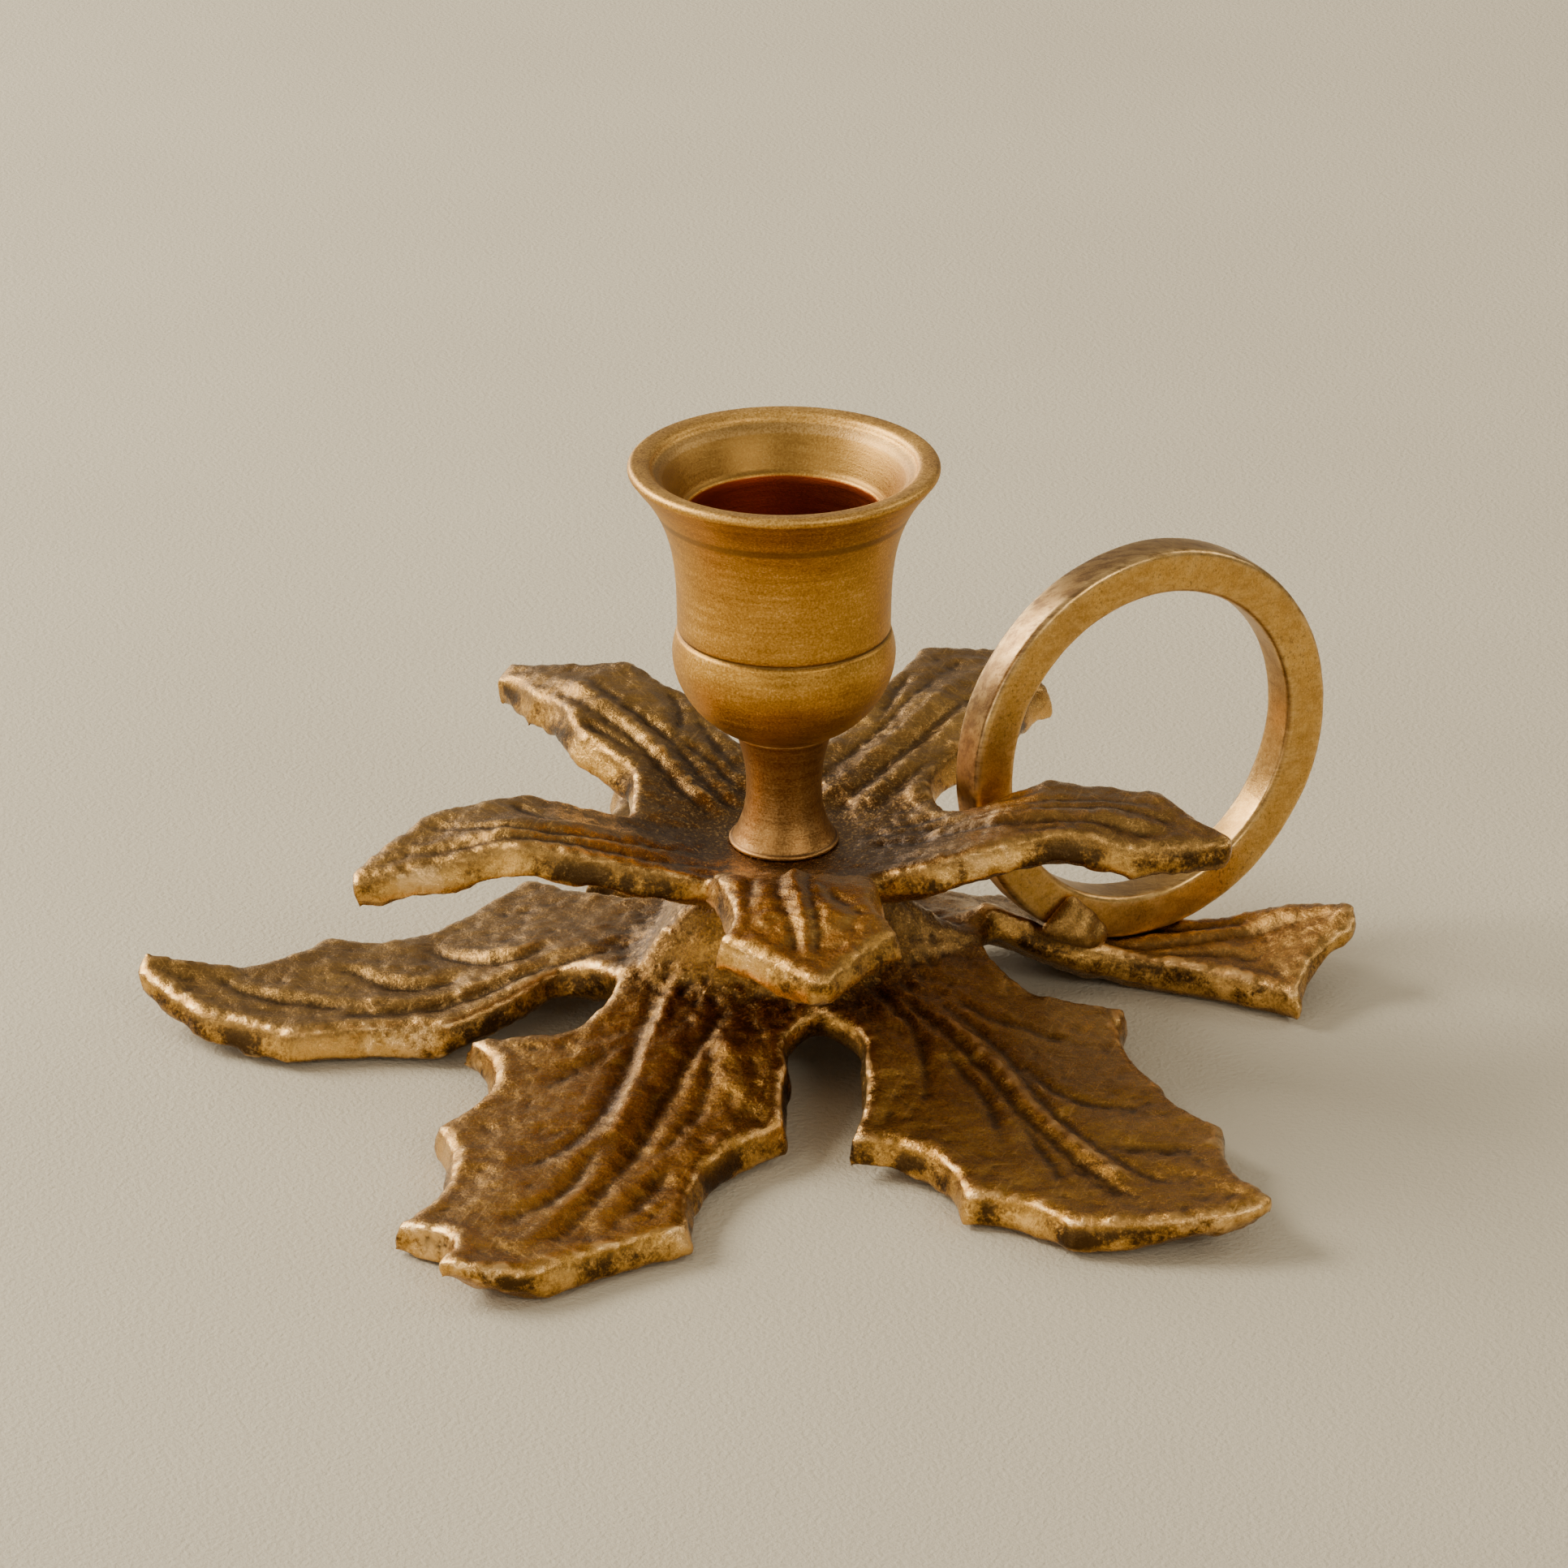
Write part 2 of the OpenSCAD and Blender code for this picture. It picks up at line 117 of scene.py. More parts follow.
UPPER_VEINS = [
    # left lobe
    (0.8, -0.6, [(-12, -6.5), (-19.4, -6.8), (-25.5, -5.1), (-31.3, -2.4), (-37.3, 0.2), (-46, 3.4)]),
    (0.8, -0.6, [(-12, -2), (-20.8, -2.4), (-26.6, -1.9), (-33.3, 1), (-42, 8)]),
    (0.9, -0.5, [(-28, 1.6), (-30, 5.6), (-31.8, 9.6)]),
    (0.8, -0.45, [(-12.4, -10.3), (-18, -10), (-24, -8.3)]),
    (0.9, 0.5, [(-14.1, -0.2), (-23, 0.4), (-31, 1.9), (-39, 6)]),
    (0.9, 0.45, [(-14, -4.4), (-24, -3.8), (-34, 0), (-46, 5)]),
    # front lobe
    (0.8, 0.5, [(-3.9, -12), (-6.8, -20), (-9.3, -26.6), (-11, -33.7), (-13.2, -40.5)]),
    (0.8, -0.4, [(-5.9, -15), (-11, -25), (-12.4, -32.5), (-14, -38.8)]),
    (0.8, -0.4, [(-2, -15), (-7.2, -25.6), (-9.3, -33), (-11.8, -39.5)]),
    (0.9, -0.45, [(-5.6, -25), (-5.2, -31), (-3.7, -35)]),
    (0.9, -0.35, [(-13, -22), (-16, -28), (-18.4, -33.4)]),
    # back left lobe
    (0.9, 0.65, [(-4, 9), (-6, 12.2), (-7.2, 17.7), (-8.8, 23.4), (-10.3, 29.4), (-13.2, 39.7), (-15.5, 46)]),
    (0.8, -0.6, [(-2.5, 9.1), (-4.3, 14.1), (-5.1, 19.9), (-6.5, 25.5), (-8.4, 30.7), (-10.9, 37.7)]),
    (0.8, -0.6, [(-6.6, 9), (-7.8, 12.3), (-9, 17.9), (-10.4, 23.5), (-12.5, 28.8), (-15.3, 37.8)]),
    (0.8, -0.5, [(-0.6, 12), (-2.8, 19), (-5.3, 23.8)]),
    (0.8, -0.5, [(-5, 23), (-2.3, 28), (-1.1, 34.5)]),
    (0.8, -0.5, [(0.2, 15.8), (-0.2, 22.1), (-0.2, 28.2)]),
    (0.9, 0.45, [(-4, 25), (-4.4, 32), (-5.3, 38.9)]),
    (0.8, -0.5, [(-10.5, 20.2), (-13.8, 26.5), (-16.6, 31)]),
    # back right lobe
    (0.9, 0.6, [(8, 7.4), (16.8, 11.6), (24.4, 15.8), (33.2, 22.6), (44, 28)]),
    (0.9, -0.75, [(8.6, 4.4), (14.5, 7.4), (20.2, 10.3), (27.8, 14.6), (36, 19.5)]),
    (0.8, -0.55, [(8.5, 10.4), (18, 15.6), (23.3, 19), (34.3, 27.6)]),
    (0.9, -0.5, [(13, 1.9), (19.6, 5), (26, 7.4)]),
    (0.9, 0.5, [(13.2, 4.5), (20, 8.2), (26, 11.8), (34, 16)]),
    (0.8, -0.5, [(20, 18), (25.8, 24.8), (30, 31)]),
    (0.8, -0.5, [(28, 15), (34, 16), (40, 16)]),
    # right lobe
    (0.9, 0.5, [(8, -5), (17.9, -12.6), (22.9, -16.9), (30.8, -20.6), (38.6, -24.8), (44, -28)]),
    (0.8, -0.6, [(9, -7.4), (16.3, -13.7), (22.2, -18.6), (29.3, -22.2), (37.7, -26.2)]),
    (0.8, -0.6, [(9.8, -4), (19.5, -10.5), (23.6, -14.6), (31.8, -18), (40.1, -23)]),
    (0.8, -0.5, [(13, -4), (19, -6.4), (25, -8.7), (28.5, -11.2)]),
    (0.8, -0.5, [(19.2, -9.6), (24, -11.4), (27.8, -14.6)]),
    (0.8, -0.5, [(27, -13.5), (33.5, -16), (39.3, -19.4)]),
    (0.8, -0.45, [(22.1, -21), (28.5, -24.3), (32.8, -26.8)]),
]

# Where the metal is worn bright, and where it is darker: stains, and the left lobe's front wall by its notch
# near the hub. (x, y, z, radius) in millimetres.
LOWER_POLISH = [(-48, 5, 4, 6), (6, -26, 7, 3), (-33, -51, 4, 3), (6, -48, 3, 5), (25, -70, 4, 7),
                (-39, -1, 4, 3), (-49, -22, 4, 4), (-59, -41, 3, 5), (-58, -51, 4, 2)]
LOWER_STAIN = [(2, -41, 4, 3), (12, -67, 3, 5), (-42, -54, 3, 6), (-54, -52, 3, 3), (-64, 18, 4, 6),
               # the last two darken the left lobe's front wall where it meets the notch by the hub
               (-22, -39, 4, 5), (-35, 2, 6, 9), (-27, 3, 8, 6)]
UPPER_POLISH = [(-16, -35, 27, 5), (-7, -36, 27, 4), (16, -20, 28, 6), (-15, 12, 27, 3), (-46, 0, 28, 4),
                (-21, 36, 29, 4)]
UPPER_STAIN = [(42, -32, 28, 4), (4, -27, 27, 4), (28, -27, 29, 6), (-29, -4, 27, 6), (-19, 46, 29, 3)]


# ---------------------------------------------------------------- meshes

def smoothstep(low, high, x):
    """0 at low, 1 at high and a soft S between them; low may be the larger of the two."""
    t = np.clip((x - low) / (high - low), 0, 1)
    return t * t * (3 - 2 * t)


def spline(points, steps=6):
    """A Catmull-Rom curve through plan points."""
    p = np.array([points[0]] + list(points) + [points[-1]], float)
    out = []
    for a, b, c, d in zip(p, p[1:], p[2:], p[3:]):
        for t in np.arange(steps) / steps:
            out.append(0.5 * (2 * b + (c - a) * t + (2 * a - 5 * b + 4 * c - d) * t * t
                              + (3 * b - a - 3 * c + d) * t ** 3))
    out.append(p[-1])
    return np.array(out)


def along(points, line):
    """Distance of each plan point from a line, and how far along it (0 to 1) its nearest point lies."""
    best = np.full(len(points), 1e9)
    place = np.zeros(len(points))
    for k, (a, b) in enumerate(zip(line, line[1:])):
        ab = b - a
        t = np.clip(((points - a) @ ab) / (ab @ ab), 0, 1)
        d = np.linalg.norm(points - a - t[:, None] * ab, axis=1)
        near = d < best
        best[near] = d[near]
        place[near] = (k + t[near]) / (len(line) - 1)
    return best, place


def cloud(points, size, octaves, seed):
    """Fractal noise, about -1 to 1, with features of the given size in millimetres."""
    out = np.zeros(len(points))
    for o in range(octaves):
        q = points * (2 ** o / size) + seed * 17.3 + o * 5.1
        out += np.array([noise.noise(v) for v in q.tolist()]) * 0.6 ** o
    return out


def new_piece(name, verts, faces, smooth=True):
    """A new mesh object from vertices in metres and faces."""
    mesh = bpy.data.meshes.new(name)
    mesh.from_pydata(verts, [], faces)
    mesh.update()
    if smooth:
        mesh.shade_smooth()
    obj = bpy.data.objects.new(name, mesh)
    bpy.context.scene.collection.objects.link(obj)
    return obj


def remeshed(name, node, voxel, rounding):
    """A copy of a CAD node as an even quad mesh with rounded edges, smoothed the given times over."""
    obj = bpy.data.objects.new(name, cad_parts[node].data.copy())
    bpy.context.scene.collection.objects.link(obj)
    obj.data.materials.clear()
    mod = obj.modifiers.new("even", "REMESH")
    mod.mode = "VOXEL"
    mod.voxel_size = voxel * MM
    soft = obj.modifiers.new("round", "SMOOTH")
    soft.factor = 0.5
    soft.iterations = rounding
    deps = bpy.context.evaluated_depsgraph_get()
    mesh = bpy.data.meshes.new_from_object(obj.evaluated_get(deps))
    old = obj.data
    obj.modifiers.clear()
    obj.data = mesh
    bpy.data.meshes.remove(old)
    mesh.shade_smooth()
    return obj


def get_points(mesh):
    """A mesh's vertices in millimetres, and their normals."""
    p = np.empty(len(mesh.vertices) * 3)
    mesh.vertices.foreach_get("co", p)
    n = np.empty(len(mesh.vertices) * 3)
    mesh.vertices.foreach_get("normal", n)
    return p.reshape(-1, 3) / MM, n.reshape(-1, 3)


def set_points(mesh, points):
    """Moves a mesh's vertices to points in millimetres."""
    mesh.vertices.foreach_set("co", (points * MM).ravel())
    mesh.update()


def relaxed(mesh, points, times):
    """The points after each has moved halfway to the mean of its neighbours, some times over."""
    e = np.empty(len(mesh.edges) * 2, int)
    mesh.edges.foreach_get("vertices", e)
    a, b = e.reshape(-1, 2).T
    total = len(points)
    count = np.maximum(np.bincount(a, minlength=total) + np.bincount(b, minlength=total), 1)
    for _ in range(times):
        mean = [(np.bincount(a, c[b], total) + np.bincount(b, c[a], total)) / count for c in points.T]
        points = 0.5 * (points + np.stack(mean, 1))
    return points


def bulge(mesh, points, normals, times):
    """How far each vertex stands out from its blurred surroundings."""
    return ((points - relaxed(mesh, points, times)) * normals).sum(1)


def attribute(mesh, name, values):
    """Stores one number a vertex, for the materials to read."""
    mesh.attributes.new(name, "FLOAT", "POINT").data.foreach_set("value", np.asarray(values, np.float32))


def spots(points, places):
    """How near each point is to any of the marked places: 1 at a place, 0 beyond its radius."""
    out = np.zeros(len(points))
    for x, y, z, radius in places:
        d = np.linalg.norm(points - (x, y, z), axis=1)
        out = np.maximum(out, np.exp(-(d / radius) ** 2))
    return out


def nearest(points, targets):
    """Index of, and distance to, the nearest target of each point."""
    tree = kdtree.KDTree(len(targets))
    for i, v in enumerate(targets.tolist()):
        tree.insert(v, i)
    tree.balance()
    found = [tree.find(v)[1:] for v in points.tolist()]
    return np.array([i for i, _ in found]), np.array([d for _, d in found])


def cast_leaf(name, node, veins, marks, voxel, rounding, reach, hub_grain, red, settle):
    """A sand-cast leaf: the CAD solid with rounded rims, veins, pits and the marks of its wear.

    Lengths are in millimetres. reach is how far the teeth come out again after the rounding,
    hub_grain how coarse the casting is near the hub, red gives the patina's redness at each
    point, and settle is how many times the finished walls are smoothed.
    """
    obj = remeshed(name, node, voxel, rounding)
    mesh = obj.data
    p, n = get_points(mesh)

    # the teeth come out a little again, and the walls tuck in towards their lower edge
    upright = 1 - smoothstep(0.3, 0.62, np.abs(n[:, 2]))
    sides = n[upright > 0.5] * (1, 1, 0)
    sides /= np.linalg.norm(sides, axis=1)[:, None]
    index, away = nearest(p, p[upright > 0.5])
    _, above = nearest(p, p[n[:, 2] < -0.7])
    edge = np.where(n[:, 2] < -0.5, away, above)
    tuck = 1.1 * np.exp(-(edge / 1.4) ** 2) * smoothstep(0.35, -0.1, n[:, 2])
    nose = smoothstep(0.25, 1.1, bulge(mesh, p, n, 60)) * (1 - smoothstep(0.5, 0.9, np.abs(n[:, 2])))
    inward = relaxed(mesh, sides[index] * tuck[:, None], 8)
    p = p + n * nose[:, None] * reach - inward
    p[:, 2] += 0.4 * tuck * (n[:, 2] < 0.1)
    set_points(mesh, relaxed(mesh, p, settle))
    p, n = get_points(mesh)

    top = smoothstep(0.35, 0.75, n[:, 2])
    wall = 1 - smoothstep(0.3, 0.62, np.abs(n[:, 2]))
    _, away = nearest(p, p[wall > 0.5])
    radius = np.hypot(p[:, 0], p[:, 1])
    inner = smoothstep(0.8, 2.8, away)
    rib = np.zeros(len(p))
    furrow = np.zeros(len(p))
    ridge = np.zeros(len(p))
    groove = np.zeros(len(p))
    for width, depth, points in veins:
        d, t = along(p[:, :2], spline(points))
        fade = np.sin(np.pi * np.clip(t * 0.82 + 0.14, 0, 1)) ** 0.5
        form = np.exp(-(d / (1.0 * width)) ** 2) * fade
        broad = np.exp(-(d / (3.2 * width)) ** 2) * fade
        if depth > 0:
            rib = np.maximum(rib, 0.42 * depth * (form + 0.6 * broad))
            ridge = np.maximum(ridge, form)
        else:
            furrow = np.maximum(furrow, -0.75 * depth * (form + 0.45 * broad))
            groove = np.maximum(groove, form)
    coarse = cloud(p, 5.5, octaves=3, seed=1)
    fine = cloud(p, 1.7, octaves=2, seed=2)
    grain = hub_grain * smoothstep(26, 14, radius)
    height = (rib - furrow) * inner + 0.26 * coarse + 0.15 * fine * (1 + 1.4 * grain)
    lip = np.exp(-((away - 1.6) / 1.5) ** 2) * 0.3
    below = smoothstep(-0.3, -0.75, n[:, 2])
    lift = top * (height + lip) + wall * (0.26 * coarse + 0.05 * fine) + below * 0.5 * coarse
    seat = smoothstep(8.6, 10.5, radius)
    under = smoothstep(0.5, 1.4, p[:, 2])
    p = p + n * (lift * seat * under)[:, None]
    set_points(mesh, p)
    p, n = get_points(mesh)
    curve = bulge(mesh, p, n, 8)
    polish, stain = marks
    attribute(mesh, "wear", smoothstep(0.05, 0.17, curve))
    attribute(mesh, "dirt", np.clip(smoothstep(-0.02, -0.14, curve) + 0.5 * groove * top * inner, 0, 1))
    attribute(mesh, "rib", ridge * top * inner)
    attribute(mesh, "wall", wall)
    attribute(mesh, "rim", smoothstep(3.2, 0.6, away) * top)
    attribute(mesh, "hub", smoothstep(27, 12, radius + 3 * coarse) * top)
    attribute(mesh, "red", red(p))
    attribute(mesh, "polish", spots(p, polish) * smoothstep(2.0, 0.5, away))
    attribute(mesh, "stain", spots(p, stain) * smoothstep(2.0, 0.5, away))
    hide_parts(node)
    return obj


def lathe(name, profile, segments=256):
    """A turned piece from (radius, height) points in millimetres, with a flat face over each end."""
    verts = []
    for r, z in profile:
        for k in range(segments):
            a = 2 * math.pi * k / segments
            verts.append((r * math.cos(a) * MM, r * math.sin(a) * MM, z * MM))
    faces = []
    for i in range(len(profile) - 1):
        for k in range(segments):
            m = (k + 1) % segments
            a, b = i * segments, (i + 1) * segments
            faces.append((a + k, a + m, b + m, b + k))
    faces.append(tuple(reversed(range(segments))))
    last = (len(profile) - 1) * segments
    faces.append(tuple(range(last, last + segments)))
    return new_piece(name, verts, faces)


def cup_profile():
    """Half section of the candle cup: outside from the seam up to the lip, then down the bore."""
    seam_r, bulb_r = 6.4, 13.2
    bulb_z, bulb_top, shoulder_rise = 0.35, 10.2, 2.35
    body_r, body_z, body_rise, lip_flare = 12.6, 13.4, 19.2, 5.35
    lip_r, lip_z, lip_round = 17.6, 33.2, 0.7
    funnel_r, throat_r, funnel_z, funnel_drop = 15.1, 12.1, 32.7, 4.7
    floor_z = 8.8
    pts = [(2.0, 0.02), (5.9, 0.02), (6.25, 0.08)]
    for a in np.arange(10, 90.1, 2):
        s = math.radians(a)
        pts.append((seam_r + (bulb_r - seam_r) * math.sin(s) ** 1.5,
                    bulb_z + (bulb_top - bulb_z) * (1 - math.cos(s))))
    for t in np.linspace(0.06, 1, 16):
        pts.append((bulb_r - 0.45 * t ** 1.6, bulb_top + shoulder_rise * t))
    # the V groove
    pts += [(12.66, 12.66), (12.45, 12.82), (12.33, 12.95), (12.36, 13.08), (12.5, 13.22), (12.6, 13.38)]
    for t in np.linspace(0.03, 0.955, 56):
        pts.append((body_r + 0.2 * t + lip_flare * t ** 3.3, body_z + body_rise * t))
    for a in np.arange(-48, 91, 8):
        s = math.radians(a)
        pts.append((lip_r + lip_round * math.cos(s), lip_z + lip_round * math.sin(s)))
    # the lip's flat top and the step down into the funnel
    pts += [(17.2, 33.89), (16.8, 33.86), (16.4, 33.8), (16.1, 33.72), (15.85, 33.58), (15.65, 33.38),
            (15.55, 33.15), (15.45, 32.98), (15.3, 32.88), (15.15, 32.74)]
    for t in np.linspace(0.06, 0.96, 22):
        pts.append((funnel_r + (throat_r - funnel_r) * t ** 0.8, funnel_z - funnel_drop * t ** 1.1))
    pts += [(11.98, 27.9), (11.8, 27.82), (11.62, 27.65), (BORE_RADIUS, 27.4)]
    pts += [(BORE_RADIUS, z) for z in np.arange(26.5, 9.8, -1)]
    pts += [(11.45, 9.4), (11.2, 9.0), (8, floor_z), (4, floor_z), (0.4, floor_z)]
    return [(r, CUP_BASE + z) for r, z in pts]


def stem_profile():
    """Half section of the waisted stem, from its foot on the upper leaf to the seam."""
    rod_r, foot_r, foot_round = 2.15, 6.3, 0.3
    waist_r, foot_flare, neck_flare = 4.5, 2.1, 1.4
    height = 14.6
    top = height - 0.02
    pts = [(rod_r, 0.0), (5.6, 0.0), (6.1, 0.02)]
    for a in np.arange(-80, 41, 10):
        s = math.radians(a)
        pts.append((foot_r + foot_round * math.cos(s), foot_round + foot_round * math.sin(s)))
    for t in np.linspace(0.04, 0.96, 66):
        flare = foot_flare * (1 - 2 * t) ** 2.3 if t < 0.5 else neck_flare * (2 * t - 1) ** 2
        pts.append((waist_r + flare, height * t))
    pts += [(5.88, 14.4), (5.8, top), (rod_r, top)]
    return [(r, STEM_FOOT + z) for r, z in pts]


def finger_ring():
    """The flat bar ring, filed by hand: its section and edges vary a little along the way."""
    major, across, deep, corner = 22.5, 2.8, 2.7, 0.85
    steps_around, corner_steps = 288, 6
    flat_x, flat_y = across - corner, deep - corner
    sides = [((1, 1), (0, 1), (-1, 0)), ((-1, 1), (-1, 0), (0, -1)),
             ((-1, -1), (0, -1), (1, 0)), ((1, -1), (1, 0), (0, 1))]
    section = []
    for q, (sign, out, onward) in enumerate(sides):
        for k in range(corner_steps + 1):
            a = math.radians(90 * q + 90 * k / corner_steps)
            section.append((sign[0] * flat_x + corner * math.cos(a), sign[1] * flat_y + corner * math.sin(a)))
        for t in (-0.5, 0, 0.5):
            crown = 0.06 * (1 - t * t)
            section.append((out[0] * (across + crown) + onward[0] * t * flat_x,
                            out[1] * (deep + crown) + onward[1] * t * flat_y))
    rows = len(section)
    verts = []
    upright = Matrix.Rotation(math.radians(RING_YAW), 4, "Z") @ Matrix.Rotation(math.radians(90), 4, "X")
    stand = Matrix.Translation(Vector(RING_CENTRE) * MM)
    for i in range(steps_around):
        a = 2 * math.pi * i / steps_around
        for r, z in section:
            v = Vector(((major + r) * math.cos(a), (major + r) * math.sin(a), z))
            wob = noise.noise(v * 0.11) * 0.10 + noise.noise(v * 0.5) * 0.03 - 0.07
            sideways = wob if r > 0 else -wob
            along_axis = wob if z > 0 else -wob
            v += Vector((math.cos(a) * sideways, math.sin(a) * sideways, along_axis))
            verts.append(stand @ upright @ (v * MM))
    faces = []
    for i in range(steps_around):
        here, ahead = i * rows, (i + 1) % steps_around * rows
        for k in range(rows):
            m = (k + 1) % rows
            faces.append((here + k, ahead + k, ahead + m, here + m))
    return new_piece("finger_ring", verts, faces)


# ------------------------------------------------------------- materials

class Graph:
    """A small helper that builds one material's nodes."""

    def __init__(self, name):
        self.material = bpy.data.materials.new(name)
        self.material.use_nodes = True
        self.tree = self.material.node_tree
        self.tree.nodes.clear()

    def add(self, kind, inputs=None, out=0, **settings):
        """One of the outputs of a new node, with its inputs linked or set."""
        node = self.tree.nodes.new("ShaderNode" + kind)
        for key, value in settings.items():
            setattr(node, key, value)
        for key, value in (inputs or {}).items():
            if isinstance(value, bpy.types.NodeSocket):
                self.tree.links.new(value, node.inputs[key])
            else:
                node.inputs[key].default_value = value
        return node.outputs[out]

    def where(self, scale, turn):
        """The object's own coordinates, turned in plan by degrees and then scaled."""
        coords = self.add("TexCoord", out="Object")
        if turn:
            coords = self.add("Mapping", {"Vector": coords, "Rotation": (0, 0, math.radians(turn))})
        return self.add("Mapping", {"Vector": coords, "Scale": scale})

    def noise(self, size, detail, rough, scale=(1, 1, 1), warp=0.0, turn=0):
        """Noise whose features are about the given size in millimetres."""
        inputs = {"Vector": self.where(scale, turn), "Scale": 1 / (size * MM), "Detail": detail,
                  "Roughness": rough, "Distortion": warp}
        return self.add("TexNoise", inputs)

    def scratches(self, turns, size=0.32):
        """Fine hairline marks that run in the given plan directions, 0 to 1."""
        out = None
        for k, turn in enumerate(turns):
            line = self.step(self.noise(size, 2, 0.5, scale=(0.05, 1.0, 0.5), turn=turn), 0.60, 0.72)
            out = line if out is None else self.math("MAXIMUM", out, line)
        return out

    def value(self, name):
        """What attribute() stored on the mesh."""
        return self.add("Attribute", out="Fac", attribute_name=name)

    def scaled(self, x, factor, middle=0.0):
        """(x - middle) * factor, for noise that swings about its middle."""
        if middle:
            x = self.math("SUBTRACT", x, middle)
        return self.math("MULTIPLY", x, factor)

    def math(self, op, a, b):
        return self.add("Math", {0: a, 1: b}, operation=op)

    def total(self, first, *others):
        """The sum of several values."""
        for other in others:
            first = self.math("ADD", first, other)
        return first

    def step(self, x, low, high, to_low=0.0, to_high=1.0):
        """to_low where x is low, to_high where x is high, and a soft S between."""
        inputs = {"Value": x, "From Min": low, "From Max": high, "To Min": to_low, "To Max": to_high}
        return self.add("MapRange", inputs, interpolation_type="SMOOTHSTEP")

    def mix(self, factor, a, b):
        inputs = {0: factor, 6: colour(a), 7: colour(b)}
        return self.add("Mix", inputs, out=2, data_type="RGBA")

    def ramp(self, x, stops):
        node = self.tree.nodes.new("ShaderNodeValToRGB")
        self.tree.links.new(x, node.inputs[0])
        while len(node.color_ramp.elements) < len(stops):
            node.color_ramp.elements.new(0.5)
        for element, (place, c) in zip(node.color_ramp.elements, stops):
            element.position = place
            element.color = (*c, 1)
        return node.outputs[0]

    def bump(self, height, distance, strength, normal=None):
        inputs = {"Height": height, "Distance": distance * MM, "Strength": strength}
        if normal is not None:
            inputs["Normal"] = normal
        return self.add("Bump", inputs)

    def finish(self, base, rough, normal, metal=1.0, **more):
        inputs = {"Base Color": base, "Roughness": rough, "Metallic": metal, "Normal": normal, **more}
        shader = self.add("BsdfPrincipled", inputs)
        out = self.tree.nodes.new("ShaderNodeOutputMaterial")
        self.tree.links.new(shader, out.inputs["Surface"])
        return self.material


def colour(c):
    """An RGB triple with alpha 1; a socket stays as it is."""
    return (*c, 1) if isinstance(c, tuple) and len(c) == 3 else c


BRIGHT = (0.93, 0.64, 0.28)
GOLD = (0.72, 0.40, 0.115)
TAN = (0.40, 0.215, 0.07)
BROWN = (0.19, 0.095, 0.03)
# colour of the painted shade towards the joint of cup and stem
SHADE_RED_BROWN = (0.19, 0.07, 0.015)
DARK = (0.042, 0.022, 0.010)
CUP_TONES = [(0.36, (0.27, 0.118, 0.018)), (0.45, (0.43, 0.210, 0.034)),
             (0.55, (0.62, 0.335, 0.062)), (0.65, (0.88, 0.55, 0.17))]
STEM_TONES = [(0.34, (0.17, 0.075, 0.02)), (0.47, (0.32, 0.155, 0.042)),
              (0.58, (0.48, 0.26, 0.08)), (0.7, (0.70, 0.44, 0.17))]


